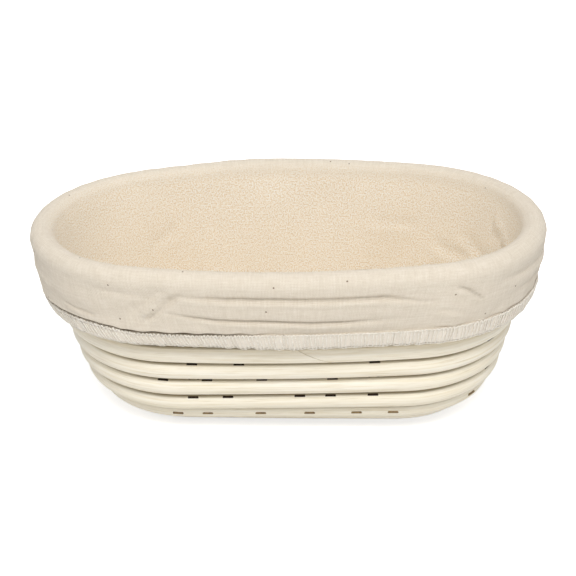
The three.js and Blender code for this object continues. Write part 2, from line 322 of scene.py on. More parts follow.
def cloth_finish():
    """Undyed cotton in a plain weave, with slubs and flecks. Painted shade darkens its creases and the fold
    over the hem, and its inside is painted brighter and warmer in place of light bounced inside the basket.
    """
    look = Finish("undyed_cotton")
    cloth = look.add("UVMap", uv_map="weave").outputs[0]
    thread = 0.00062  # from one thread of the weave to the next, in metres
    wander = look.noise(cloth, 160, 2, 0.5)
    shift = look.add("CombineXYZ", {0: wander, 1: wander}).outputs[0]
    shift = look.add("VectorMath", {0: shift, "Scale": 0.0009}, operation="SCALE").outputs[0]
    woven = look.add("VectorMath", {0: cloth, 1: shift}, operation="ADD").outputs[0]
    wave = {"Vector": woven, "Scale": math.pi / 10 / thread, "Distortion": 0.6, "Detail": 1.0}
    warp = look.add("TexWave", wave, bands_direction="X").outputs[1]
    weft = look.add("TexWave", wave, bands_direction="Y").outputs[1]
    over = look.add("TexChecker", {"Vector": woven, "Scale": 1 / thread}).outputs[1]
    lift = look.add("Mix", {0: over, 2: warp, 3: weft}, data_type="FLOAT").outputs[0]
    slub = look.noise(look.stretch(cloth, (130, 1000, 1)), 1, 3, 0.6)
    slub_up = look.noise(look.stretch(cloth, (1000, 130, 1)), 1, 3, 0.6)
    uneven = look.math("MULTIPLY", look.math("ADD", slub, slub_up), 0.5)
    tone = look.ramp(uneven, (0.36, paint("DCD1C0")), (0.52, paint("E3D9C9")), (0.66, paint("E9E0D2")))
    stipple = look.noise(cloth, 1300, 3, 0.65)
    # the inside is painted as a brighter, warmer copy of the cloth, in place of light bounced round inside
    # the basket
    inside_painted_light = look.ramp(stipple, (0.39, paint("E3CDA8")), (0.50, paint("F8EDDB")), (0.58, paint("FFFDF7")))
    across = look.add("SeparateXYZ", {0: cloth}).outputs[1]
    # share of that painted inside light, which runs out over the top of the rim's roll
    inside = look.add("MapRange", {0: across, 1: 0.094, 2: 0.104, 3: 0.85, 4: 0.0}).outputs[0]
    hem = look.add("Attribute", attribute_name="hem").outputs["Fac"]
    dips = look.ramp(lift, (0.05, paint("DCD0BC")), (0.45, grey(1)))
    hemmed = look.mix(hem, look.mix(inside, tone, inside_painted_light), paint("F4EDE2"))
    plain = look.mix(0.4, hemmed, dips, "MULTIPLY")
    # painted shade along the creases and along the fold over the hem, read from the band
    painted_crease_shade = look.add("Attribute", attribute_name="painted_crease_shade").outputs["Fac"]
    crease_shaded = look.mix(look.math("MULTIPLY", painted_crease_shade, 0.85), plain, paint("6E5F47"))
    cells = {"Vector": cloth, "Scale": 60.0, "Randomness": 1.0}
    specks = look.add("TexVoronoi", cells, voronoi_dimensions="2D")
    small = look.math("LESS_THAN", specks.outputs["Distance"], 0.024)
    few = look.math("GREATER_THAN", look.add("SeparateColor", {0: specks.outputs["Color"]}).outputs[0], 0.5)
    shown = look.math("SUBTRACT", 0.85, look.math("MULTIPLY", inside, 0.85))
    fleck = look.math("MULTIPLY", look.math("MULTIPLY", small, few), shown)
    look.shade(
        Base_Color=look.mix(fleck, crease_shaded, paint("6B5136")),
        Roughness=0.92,
        Sheen_Weight=0.1,
        Sheen_Roughness=0.6,
        Specular_IOR_Level=0.2,
        Normal=look.bump(lift, 0.35, 0.0003, look.bump(uneven, 0.3, 0.0006)),
    )
    return look.material


def thread_finish():
    """Soft white sewing thread."""
    look = Finish("sewing_thread")
    here = look.add("TexCoord").outputs["Object"]
    twist = {"Vector": here, "Scale": 900.0, "Distortion": 2.0}
    ply = look.add("TexWave", twist, bands_direction="DIAGONAL").outputs[1]
    fuzz = look.noise(here, 1500, 2, 0.5)
    look.shade(
        Base_Color=look.ramp(fuzz, (0.35, paint("E7DECF")), (0.65, paint("F8F3E9"))),
        Roughness=0.85,
        Sheen_Weight=0.15,
        Normal=look.bump(ply, 0.4, 0.0002),
    )
    return look.material


def elastic_finish():
    """Ribbed white elastic."""
    look = Finish("ribbed_elastic")
    strip = look.add("UVMap", uv_map="weave").outputs[0]
    ribs = look.add("TexWave", {"Vector": strip, "Scale": 420.0}, bands_direction="Y").outputs[1]
    knit = look.noise(strip, 1500, 2, 0.5)
    look.shade(
        Base_Color=look.ramp(ribs, (0.2, paint("D8D3C8")), (0.6, paint("F1EEE7"))),
        Roughness=look.ramp(knit, (0.3, grey(0.75)), (0.7, grey(0.9))),
        Normal=look.bump(ribs, 0.6, 0.0003),
    )
    return look.material


CANE = cane_finish()
STAPLE = staple_finish()
CLOTH = cloth_finish()
THREAD = thread_finish()
ELASTIC = elastic_finish()

# Canes

CANE_SIDES = 20
CANE_STEP = 4.2
GRAIN_SHIFT = 0.37  # gives each cane a grain of its own
PATH_STEPS = 168  # points on one turn of the line that a cane is wound along


def straight_cane(length, cut_start, cut_end):
    """A round cane along X with slanted ends where it is spliced."""
    clear_selection()
    bpy.ops.mesh.primitive_cylinder_add(
        vertices=CANE_SIDES,
        radius=CANE_RADIUS,
        depth=length,
        location=(length / 2, 0, 0),
        rotation=(0, math.pi / 2, 0),
    )
    cane = bpy.context.object
    bpy.ops.object.transform_apply(location=True, rotation=True, scale=True)
    bpy.ops.object.mode_set(mode="EDIT")
    cuts = round(math.sqrt(length / CANE_STEP)) - 1
    least = 0.9 * length
    for _ in range(2):
        pick(cane, "EDGE", lambda edge: abs(edge.verts[0].co.x - edge.verts[1].co.x) > least)
        bpy.ops.mesh.subdivide(number_cuts=cuts)
        least /= cuts + 1
    slant = Vector((2 * CANE_RADIUS, 0, SPLICE_LENGTH)).normalized()
    half = SPLICE_LENGTH / 2
    ends = ((cut_start, half, "clear_inner"), (cut_end, length - half, "clear_outer"))
    for cut, at, side in ends:
        if cut:
            bpy.ops.mesh.select_all(action="SELECT")
            bpy.ops.mesh.bisect(plane_co=(at, 0, 0), plane_no=slant, use_fill=True, **{side: True})
    bpy.ops.object.mode_set(mode="OBJECT")
    return cane


def wind(cane, turns):
    """Bends a straight cane along the spiral."""
    line = spiral(turns)[0]
    clear_selection()
    bpy.ops.curve.primitive_nurbs_path_add()
    path = bpy.context.object
    path.data.dimensions = "3D"
    path.data.twist_mode = "Z_UP"
    path.data.splines.clear()
    run = path.data.splines.new("POLY")
    run.points.add(len(line) - 1)
    run.points.foreach_set("co", np.column_stack([line, np.ones(len(line))]).ravel())
    apply_modifier(cane, "CURVE", object=path, deform_axis="POS_X")
    bpy.data.objects.remove(path)


def length_between(first, last):
    turns = np.arange(first, last + 0.5 / PATH_STEPS, 1 / PATH_STEPS)
    turns[-1] = last
    line = spiral(turns)[0]
    return turns, float(np.linalg.norm(np.diff(line, axis=0), axis=1).sum())


def turn_after(turn, length):
    """The turn that lies a length along the cane from another, walked station by station."""
    pace = math.copysign(1 / TURN_STEPS, length)
    left = abs(length)
    while left > 0:
        step = np.linalg.norm(spiral(turn)[0] - spiral(turn + pace)[0])
        turn += pace * min(1, left / step)
        left -= step
    return turn


def marked_turn(turns_down, side, mark):
    """A place on the spiral that lies a length along the cane from the middle of the front or the back."""
    return turn_after(round(RIM_TURN) - turns_down + SIDE_TURN / 2 + side, mark)


def shave_tip(cane, length):
    """Pares the last stretch of the rim cane down to its tip, from above."""
    _, tip = length_between(END_TURN - TIP_TURNS, END_TURN)
    points = points_of(cane)
    share = np.clip((length - points[:, 0]) / tip, 0, 1)
    thin = TIP_HEIGHT / (2 * CANE_RADIUS)
    points[:, 2] = (points[:, 2] + CANE_RADIUS) * (thin + (1 - thin) * share) - CANE_RADIUS
    move_points(cane, points)


def make_canes():
    splices = [None, *(marked_turn(*mark) for mark in SPLICES), None]
    names = ("base_cane", "lower_wall_cane", "middle_wall_cane", "rim_cane")
    for index, name in enumerate(names):
        before, after = splices[index], splices[index + 1]
        first = turn_after(before, SPLICE_GAP - SPLICE_LENGTH / 2) if before else START_TURN
        last = turn_after(after, SPLICE_LENGTH / 2) if after else END_TURN
        turns, length = length_between(first, last)
        cane = straight_cane(length, before, after)
        apply_modifier(cane, "TRIANGULATE", min_vertices=5)
        if name == "rim_cane":
            shave_tip(cane, length)
        straight = points_of(cane)
        store(cane, "straight", straight * MM + (GRAIN_SHIFT * index, 0, 0))
        wind(cane, turns)
        points = points_of(cane)
        line = spiral(turns)[0]
        lengths = np.concatenate([[0], np.cumsum(np.linalg.norm(np.diff(line, axis=0), axis=1))])
        middle, _, upward = spiral(np.interp(straight[:, 0], lengths, turns))
        # how far each point lies towards the neighbouring turns, by which the finish paints shade into the
        # grooves
        store(cane, "groove_shade_mask", np.abs(((points - middle) * upward).sum(1)) / CANE_RADIUS)
        points[:, 2] = np.maximum(points[:, 2], 0)
        move_points(cane, points * MM)
        take(cane)
        bpy.ops.object.shade_smooth_by_angle(angle=math.radians(40))
        finish_piece(cane, "wound_" + name, CANE, "basket", "cane", name)


make_canes()

# Staples

STAPLE_WIDTH = 5.2
STAPLE_LEG = 10.4
STAPLE_WIRE = 1.1
STAPLE_BEND = 0.55
STAPLE_EDGE = 0.22
STAPLE_AIM = 0.3
STAPLE_PROUD = 0.22
STAPLE_SEAMS = (  # turns down from the rim, degrees up the shoulder of the turn, rust, lengths along the cane
    (5, 74, 0, (-45.3, -23.5, 39, 99)),
    (6, 74, 0, (-59.5, -39.1, -13.5, 19.5)),
    (7, 68, 0, (-46.5, -30, 4, 18.5, 38.5, 101)),
    (8, 40, 0.8, (-54.5, -40.5, -15, 8.5, 31, 48.5, 89)),
)


def staple_model():
    """One bent wire: crown along X, legs down -Y."""
    clear_selection()
    bpy.ops.mesh.primitive_cube_add(
        size=1,
        location=(0, -STAPLE_WIRE / 2, 0),
        scale=(STAPLE_WIDTH, STAPLE_WIRE, STAPLE_WIRE),
    )
    wire = bpy.context.object
    bpy.ops.object.transform_apply(location=True, rotation=True, scale=True)
    bpy.ops.object.mode_set(mode="EDIT")
    inner = STAPLE_WIDTH / 2 - STAPLE_WIRE
    for at in (-inner, inner):
        bpy.ops.mesh.select_all(action="SELECT")
        bpy.ops.mesh.bisect(plane_co=(at, 0, 0), plane_no=(1, 0, 0))
    pick(wire, "FACE", lambda face: face.normal.y < -0.9 and abs(face.calc_center_median().x) > inner)
    bpy.ops.mesh.extrude_region_move(TRANSFORM_OT_translate={"value": (0, STAPLE_WIRE - STAPLE_LEG, 0)})
    half = STAPLE_WIDTH / 2 - 0.01
    pick(wire, "EDGE", lambda edge: all(abs(v.co.x) > half and v.co.y > -0.01 for v in edge.verts))
    bpy.ops.mesh.bevel(offset=STAPLE_BEND, segments=3, affect="EDGES")
    pick(wire, "EDGE", lambda edge: edge.calc_face_angle(0) > 1)
    bpy.ops.mesh.bevel(offset=STAPLE_EDGE, segments=2, affect="EDGES")
    bpy.ops.object.mode_set(mode="OBJECT")
    bpy.ops.object.shade_smooth_by_angle(angle=math.radians(50))
    return wire


def staple_matrix(turn, seat):
    point, outward, upward = spiral(turn)
    below, below_out, _ = spiral(turn - 1)
    step = 0.25 / TURN_STEPS
    ahead = spiral(turn + step)[0] - spiral(turn - step)[0]
    ahead /= np.linalg.norm(ahead)
    reach = CANE_RADIUS + STAPLE_PROUD
    crown = point + reach * (math.cos(seat) * outward + math.sin(seat) * upward)
    back = crown - (below + STAPLE_AIM * below_out)
    back -= ahead * (back @ ahead)
    back /= np.linalg.norm(back)
    basis = Matrix(np.column_stack([ahead, back, np.cross(ahead, back)]).tolist()).to_4x4()
    return Matrix.Scale(MM, 4) @ Matrix.Translation(crown) @ basis


def make_staples():
    wire = staple_model()
    number = 0
    for turns_down, seat, rust, marks in STAPLE_SEAMS:
        for side in (0, 0.5):
            for mark in marks:
                number += 1
                take(wire)
                bpy.ops.object.duplicate()
                staple = bpy.context.object
                staple.data.transform(staple_matrix(marked_turn(turns_down, side, mark), math.radians(seat)))
                store(staple, "rust", np.full(len(staple.data.vertices), rust))
                node = f"staple_{number:02d}"
                finish_piece(staple, "wire_" + node, STAPLE, "basket", "staple", node)
    bpy.data.objects.remove(wire)


make_staples()

# Liner

CLOTH_FACE = 6.0  # from the middle of the cane to the cloth's outer face
CLOTH_THICK = 0.7
FRONT_COLUMNS = 92
BACK_COLUMNS = 68
END_COLUMNS = 100
HEM_BACK = 5.1  # from the middle of the cane to the back of the hem
HEM_LIGHTER = 0.8  # share of the paler tone that the sewn hem has
SEAM_GAP = 0.15  # from the base seam to the cloth on either side of it
FOLD_DEPTH = 20.9  # from the middle of the rim cane down to the skirt's fold over the hem
HEM_DEPTH = 30.8  # and down to the hem's lower edge
TAUT_REACH = 5  # columns that the cloth spans over a dip in the rim
TAUT_PASSES = 16
EASE_COLUMNS = 12


def rim_along(turn):
    """The middle of the highest cane, with the cloth drawn taut and eased over the end of the spiral."""
    share = (np.asarray(turn)[None] + np.array([-1, 0, 1])[:, None] / TURN_STEPS) % 1
    top = np.floor(END_TURN - share) + share
    thin = TIP_HEIGHT / (2 * CANE_RADIUS)
    left = np.clip((END_TURN - top) / TIP_TURNS, 0, 1)
    high = (along_at(top) - CANE_RADIUS * (1 - thin - (1 - thin) * left)).max(0)
    for _ in range(TAUT_PASSES):
        high = np.maximum(high, (np.roll(high, TAUT_REACH) + np.roll(high, -TAUT_REACH)) / 2)
    window = np.hanning(2 * EASE_COLUMNS + 1)
    window /= window.sum()
    closed = np.concatenate([high[-EASE_COLUMNS:], high, high[:EASE_COLUMNS]])
    return np.convolve(closed, window, "valid")


def column_turns():
    front, back = (np.arange(count) / count * SIDE_STEPS for count in (FRONT_COLUMNS, BACK_COLUMNS))
    end = SIDE_STEPS + np.arange(END_COLUMNS) / END_COLUMNS * END_STEPS
    return np.concatenate([front, end, back + HALF_STEPS, end + HALF_STEPS]) / TURN_STEPS


TURNS = column_turns()
STATIONS = TURNS * TURN_STEPS
RIM = rim_along(TURNS)
RIM_LINE = place(TURNS, RIM, np.full(len(TURNS), CLOTH_FACE))
GIRTH_STEPS = np.linalg.norm(np.roll(RIM_LINE, -1, 0) - RIM_LINE, axis=1)
GIRTH = float(GIRTH_STEPS.sum())
GIRTH_AT = np.concatenate([[0], np.cumsum(GIRTH_STEPS)])


def girth_at(station):
    """Length round the rim at a station."""
    whole = np.concatenate([STATIONS, [TURN_STEPS]])
    return np.interp(np.asarray(station) % TURN_STEPS, whole, GIRTH_AT)


def round_the_rim(pairs):
    """A value for each column, eased between given stations."""
    at = np.array([p[0] for p in pairs], float)
    value = np.array([p[1] for p in pairs], float)
    at = np.concatenate([at - TURN_STEPS, at, at + TURN_STEPS])
    return np.interp(STATIONS, at, np.tile(value, 3))


def smooth_line(controls, rows):
    """A curve through control points, for each column, with a number of rows in each of its spans."""
    before = 2 * controls[:, :1] - controls[:, 1:2]
    after = 2 * controls[:, -1:] - controls[:, -2:-1]
    ends = np.concatenate([before, controls, after], 1)
    spans = controls.shape[1] - 1
    at = np.concatenate([start + np.arange(count) / count for start, count in enumerate(rows)] + [[spans]])
    span = np.minimum(at.astype(int), spans - 1)
    t = (at - span)[None, :, None]
    a, b, c, d = (ends[:, span + k] for k in range(4))
    return 0.5 * (2 * b + (c - a) * t + (2 * a - 5 * b + 4 * c - d) * t**2 + (3 * b - a - 3 * c + d) * t**3)


INSIDE_ROWS = 36
ROLL_ROWS = 12
SKIRT_SPANS = (10, 11, 10, 9, 6, 4, 4, 4, 4, 7, 4, 3, 2, 2, 2)
HEM_TOP_ROW = INSIDE_ROWS + ROLL_ROWS + sum(SKIRT_SPANS[:8])
HEM_LOW_ROW = INSIDE_ROWS + ROLL_ROWS + sum(SKIRT_SPANS[:12])
# Pairs of a station and a value: how far the skirt pouches over the hem, how much looser it lies, and how
# much lower the hem's edge and the fold over it hang
POUCH = round_the_rim(
    [(0.4, 1), (1.2, 0.6), (1.9, 0), (3.9, 0), (4.3, 0.3), (5, 0.05), (6.5, 0.4), (8, 0.3), (11, 0.2)]
    + [(14, 0.6), (17, 0.1), (20, 0.6), (23, 0.3), (24.6, 1), (27.6, 1)]
)
SLACK = round_the_rim([(5, 0), (7.5, -0.9), (10, -0.9), (13, 0)])
HEM_DROP = round_the_rim(
    [(0.8, -1.6), (2, 0), (3.4, -0.6), (4.3, -0.2), (7, 0.3), (10, -0.4), (13, 0.4), (16, -0.6)]
    + [(19, 0.3), (22, -0.3), (25, -0.6), (27, -0.9)]
)
FOLD_DROP = round_the_rim(
    [(24.7, 1.0), (25.3, -0.6), (26.4, -1.6), (27.3, -1.2), (27.5, -0.2), (27.521, -0.232)],
)


def band_section():
    """Rows across the band from the base seam to the hem's inner edge: along the section, and out of it."""
    columns = len(TURNS)
    depth = np.linspace(0, 1, INSIDE_ROWS + 1)[:-1]
    foot = FLAT_REACH + SEAM_GAP
    along = foot + (RIM[:, None] - foot) * depth
    inside = np.stack([along, np.full_like(along, -CLOTH_FACE)], -1)
    angle = np.pi * (1 - np.arange(ROLL_ROWS) / ROLL_ROWS)
    across = np.broadcast_to(CLOTH_FACE * np.cos(angle), (columns, ROLL_ROWS))
    roll = np.stack([RIM[:, None] + CLOTH_FACE * np.sin(angle), across], -1)
    level = np.zeros(columns)
    fold = FOLD_DEPTH + FOLD_DROP
    low = HEM_DEPTH + HEM_DROP + 0.22 * ripple(GIRTH_AT[:-1], level, 8, 5, 9, 0)
    controls = [  # down from the middle of the rim cane, and out of it
        (0, CLOTH_FACE),
        (4.5, 6.8 + 0.5 * SLACK),
        (9.5, 7.9 + SLACK),
        (14, 8.4 + SLACK),
        (fold - 3, 8.3 + 0.8 * POUCH + 0.7 * SLACK),
        (fold - 0.5, 8.1 + 1.5 * POUCH + 0.4 * SLACK),
        (fold + 0.2, 8.1 - 0.2 * POUCH),
        (fold + 0.4, 8.2 - 1.7 * POUCH),
        (fold + 0.9, 8.5 - 0.9 * POUCH),
        (fold + 1.8, 8.9),
        (low - 2.0, 8.8),
        (low - 0.7, 8.2),
        (low, 7.0),
        (low - 0.6, HEM_BACK + 0.4),
        (low - 2.5, HEM_BACK),
        (low - 7, HEM_BACK),
    ]
    pairs = [np.stack([level + down, level + out], -1) for down, out in controls]
    line = smooth_line(np.stack(pairs, 1), SKIRT_SPANS)
    skirt = np.stack([RIM[:, None] - line[..., 0], line[..., 1]], -1)
    return np.concatenate([inside, roll, skirt], 1)


# Creases: stations and drops below the middle of the rim cane, then depth, width and the ridge below.
# Past the top of the roll a drop is negative, and on the inside it counts on down the wall.
ROLL_LENGTH = math.pi * CLOTH_FACE
PAINTED_SHADE_WIDTH = 1.3  # narrower creases get painted shade along their line, and show darker
PAINTED_SHADE_SHARE = 0.42


def inner(station, drop):
    return (station, -ROLL_LENGTH - drop)


CREASES = [
    (
        [(0.5, 1.6), (0.68, 2.2), (1.3, 2.7), (2.0, 2.9), (2.7, 3.2), (3.2, 3.2), (3.45, 4.4)]
        + [(3.7, 6.2), (4.0, 7.4)],
        1.15,
        1.05,
        0.6,
    ),
    (
        [(0.3, 10.2), (0.67, 12.2), (1.06, 13.4), (1.5, 14.0), (2.2, 14.7), (2.8, 15.2), (3.4, 14.6)],
        1.1,
        0.95,
        0.5,
    ),
    ([(0.74, 0.2), (0.45, 7.2), (0.28, 12.0), (0.06, 18.0)], 1.7, 1.3, 1.4),
    ([(0.66, 0.4), (0.30, 7.6), (0.10, 12.6), (-0.14, 17.6)], 1.1, 1.4, -1.4),
    ([(4.20, 0.4), (4.59, 3.5), (4.96, 8.2), (5.1, 10.0)], 1.0, 0.9, 0.5),
    ([(3.9, 11.0), (4.4, 13.5), (4.9, 18.0)], 0.5, 1.3, 0.2),
    ([(5.4, 2.0), (6.2, 4.5), (7.2, 5.5), (8.4, 4.5)], 0.6, 1.4, 0.3),
    ([(6.0, 12.0), (7.0, 13.5), (8.2, 13.0), (9.0, 11.0)], 0.55, 1.4, 0.3),
    ([(27.0, 1.5), (27.6, 2.5), (28.3, 3.0)], 0.4, 1.6, 0.2),
    ([(25.8, 13.8), (26.4, 15.6), (27.0, 16.2)], 0.5, 1.0, 0.3),
    ([(24.0, 5.0), (24.9, 7.0), (25.6, 6.5)], 0.4, 1.5, 0.3),
    ([(14.5, 1.2), (15.6, 1.8), (16.6, 1.4), (17.4, 3.0)], 1.1, 1.1, 0.4),
    ([(14.2, 12.0), (15.4, 13.0), (16.6, 12.4), (17.8, 13.6)], 1.0, 1.0, 0.4),
    ([(18.4, 1.0), (19.0, 6.0), (19.3, 12.0)], 0.7, 1.1, 0.4),
    ([(20.5, 3.0), (21.8, 5.0), (23.0, 4.0)], 0.6, 1.4, 0.3),
    ([(10.2, 3.0), (11.2, 5.0), (12.4, 4.2)], 0.6, 1.4, 0.3),
    ([(11.4, 12.5), (12.3, 14.0), (13.2, 12.8)], 0.6, 1.2, 0.3),
    ([(20.6, 13.0), (21.6, 14.5), (22.8, 13.0)], 0.6, 1.2, 0.3),
    (
        [inner(10.7, 8.0), inner(10.4, 13.8), inner(9.97, 15.4), inner(9.44, 18.0), inner(9.1, 24.0)],
        -1.2,
        1.3,
        -0.6,
    ),
    ([inner(12.9, 35.0), inner(12.2, 38.0), inner(11.6, 38.0), inner(11.0, 34.0)], 1.2, 2.0, 0.7),
    ([inner(11.9, 27.0), inner(11.3, 29.5), inner(10.7, 33.0), inner(10.2, 37.0)], 1.1, 2.0, 0.7),
    ([inner(19.2, 37.0), inner(18.6, 32.0), inner(18.0, 27.0)], 1.0, 2.0, 0.6),
    ([inner(14.7, 25.5), inner(14.0, 27.0), inner(13.3, 27.5)], 0.9, 2.0, 0.6),
    ([inner(5.2, 30.0), inner(6.0, 36.0), inner(6.6, 44.0)], 0.6, 2.4, 0.3),
    ([inner(22.0, 24.0), inner(22.8, 34.0), inner(23.2, 46.0)], 0.6, 2.4, 0.3),
    ([inner(25.2, 30.0), inner(26.2, 36.0), inner(27.4, 38.0)], 0.5, 2.4, 0.3),
]

# Puffed stretches between creases: first and last station, first and last drop, height
PILLOW_EASE = 14  # length at either end over which a puff dies away
PILLOWS = [
    (0.55, 3.8, 2.9, 14.4, 0.7),
    (0.35, 3.6, 14.4, 21.0, 0.5),
    (14.3, 17.4, 1.5, 12.6, 0.6),
    (14.0, 17.8, 12.6, 20.0, 0.4),
    (5.6, 8.6, 4.8, 13.0, 0.5),
    (24.6, 27.8, 4.0, 18.0, 0.5),
    (20.4, 23.0, 4.0, 13.6, 0.5),
    (10.2, 13.2, 4.4, 13.0, 0.4),
]


def crease_depth(girth, drop, points, depth, width, ridge):
    """How far a crease moves each point of the band out of its surface, and how much painted shade it lays
    along its line.
    """
    line = np.array([(girth_at(station), low) for station, low in points])
    line[:, 0] = line[0, 0] + (line[:, 0] - line[0, 0] + GIRTH / 2) % GIRTH - GIRTH / 2
    x = line[0, 0] + (girth - line[0, 0] + GIRTH / 2) % GIRTH - GIRTH / 2
    best = np.full_like(girth, np.inf)
    side = np.zeros_like(girth)
    share = np.zeros_like(girth)
    lengths = np.linalg.norm(np.diff(line, axis=0), axis=1)
    done = 0.0
    for (x0, y0), (x1, y1), length in zip(line[:-1], line[1:], lengths):
        dx, dy = (x1 - x0) / length, (y1 - y0) / length
        run = np.clip((x - x0) * dx + (drop - y0) * dy, 0, length)
        gap = np.hypot(x - x0 - run * dx, drop - y0 - run * dy)
        closer = gap < best
        best = np.where(closer, gap, best)
        side = np.where(closer, np.sign(dx * (drop - y0) - dy * (x - x0)), side)
        share = np.where(closer, (done + run) / lengths.sum(), share)
        done += length
    taper = np.clip(4.5 * share, 0, 1) * np.clip(4.5 * (1 - share), 0, 1)
    lift = ridge * np.exp(-(((best * side - 2.2 * width) / (1.5 * width)) ** 2))
    lift -= depth * np.exp(-((best / width) ** 2))
    # painted shade along the line of a narrow crease
    painted_crease_shade = np.clip(depth, 0, 1) * np.exp(-((best / (0.6 * width)) ** 2)) * (width < PAINTED_SHADE_WIDTH)
    return lift * taper, painted_crease_shade * taper


def pillow(girth, drop, first, last, top, low, height):
    start, stop = girth_at(first), girth_at(last)
    run = (girth - start) % GIRTH
    ends = np.clip(np.minimum(run, (stop - start) % GIRTH - run) / PILLOW_EASE, 0, 1)
    down = np.clip((drop - top) / (low - top), 0, 1)
    return height * ends**2 * (3 - 2 * ends) * np.sin(np.pi * down) ** 0.7


def ripple(girth, drop, count, shortest, longest, slope):
    """Soft irregular waves: sines of a set range of lengths with seeded phases, whole ones round the rim."""
    total = np.zeros_like(girth)
    for _ in range(count):
        waves = max(1, round(GIRTH / RNG.uniform(shortest, longest)))
        tilt = RNG.uniform(-slope, slope)
        total += np.sin(2 * np.pi * (waves * girth / GIRTH + tilt * drop) + RNG.uniform(0, 2 * np.pi))
    return total / math.sqrt(count)


def grid_normals(points):
    across = np.roll(points, -1, 0) - np.roll(points, 1, 0)
    down = np.gradient(points, axis=1)
    normal = np.cross(down, across)
    return normal / np.maximum(np.linalg.norm(normal, axis=-1, keepdims=True), 1e-9)


def band_points():
    """The band's outer face as a grid, the length of cloth to each of its points, and the painted shade of
    its creases and of the fold over the hem.
    """
    section = band_section()
    points = place(TURNS[:, None], section[..., 0], section[..., 1])
    steps = np.linalg.norm(np.diff(points, axis=1), axis=-1)
    reach = np.concatenate([np.zeros((len(TURNS), 1)), np.cumsum(steps, 1)], 1)
    drop = reach - reach[:, INSIDE_ROWS + ROLL_ROWS][:, None]
    girth = np.broadcast_to(GIRTH_AT[:-1, None], drop.shape)
    creases = [crease_depth(girth, drop, *crease) for crease in CREASES]
    lift = sum(moved for moved, _ in creases) + sum(pillow(girth, drop, *puff) for puff in PILLOWS)
    # painted shade: the creases' dark lines
    painted_crease_shade = PAINTED_SHADE_SHARE * sum(shade_part for _, shade_part in creases)
    # a painted shadow line under the skirt where it pouches over the hem
    fold_shadow_rows = np.arange(drop.shape[1]) - (HEM_TOP_ROW + 1.5)
    painted_crease_shade = np.clip(painted_crease_shade + 1.2 * POUCH[:, None] * np.exp(-((fold_shadow_rows / 2.4) ** 2)), 0, 1)
    skirt = np.clip(drop / 3, 0, 1) * np.clip((19 - drop) / 3, 0, 1)
    near_hem = np.exp(-(((drop - 20) / 4.5) ** 2))
    hem = np.clip((drop - 22) / 2, 0, 1)
    wall = np.clip((-drop - 22) / 12, 0, 1)
    lift += 0.36 * skirt * ripple(girth, drop, 7, 22, 70, 0.02)
    lift += 0.14 * near_hem * ripple(girth, drop, 9, 7, 15, 0.01)
    lift += 0.22 * hem * ripple(girth, drop, 7, 5, 11, 0.02)
    lift += 0.45 * wall * ripple(girth, drop, 7, 30, 90, 0.012)
    lift += 0.08 * ripple(girth, drop, 6, 9, 22, 0.06)
    lift[:, HEM_LOW_ROW:] = 0
    return points + lift[..., None] * grid_normals(points), reach, painted_crease_shade


def grid_mesh(name, points, lengths, columns_length):
    """A closed ring of cloth from a grid, with a UV map in metres along and across the cloth."""
    columns, rows = points.shape[:2]
    index = np.arange(columns * rows).reshape(columns, rows)
    after = np.roll(index, -1, 0)
    quads = np.stack([index[:, :-1], index[:, 1:], after[:, 1:], after[:, :-1]], -1).reshape(-1, 4)
    mesh = bpy.data.meshes.new(name)
    mesh.from_pydata((points.reshape(-1, 3) * MM).tolist(), [], quads.tolist())
    column = np.arange(columns)[:, None]
    u = np.stack([np.broadcast_to(columns_length[column + k], (columns, rows - 1)) for k in (0, 0, 1, 1)], -1)
    beyond = np.roll(lengths, -1, 0)
    v = np.stack([lengths[:, :-1], lengths[:, 1:], beyond[:, 1:], beyond[:, :-1]], -1)
    weave = mesh.uv_layers.new(name="weave")
    weave.data.foreach_set("uv", (np.stack([u, v], -1).reshape(-1, 2) * MM).astype(np.float32).ravel())
    piece = bpy.data.objects.new(name, mesh)
    bpy.context.collection.objects.link(piece)
    return piece


BAND, BAND_REACH, BAND_PAINTED_SHADE = band_points()
BAND_NORMALS = grid_normals(BAND)


def make_band():
    band = grid_mesh("gathered_band", BAND, BAND_REACH, GIRTH_AT)
    # the band keeps its painted shade of creases and fold for the finish
    store(band, "painted_crease_shade", BAND_PAINTED_SHADE.ravel())
    hem = np.zeros(BAND.shape[:2])
    hem[:, HEM_TOP_ROW:] = HEM_LIGHTER
    store(band, "hem", hem.ravel())
    apply_modifier(band, "SOLIDIFY", thickness=CLOTH_THICK * MM, offset=-1)
    take(band)
    bpy.ops.object.shade_smooth()
    finish_piece(band, "gathered_band", CLOTH, "liner", "cloth", "liner_side_band")
    return band


PANEL_DIP = 0.3  # the base panel's edge lies this much lower at its seam
PANEL_INSETS = [0.8] + [1.9] * 11


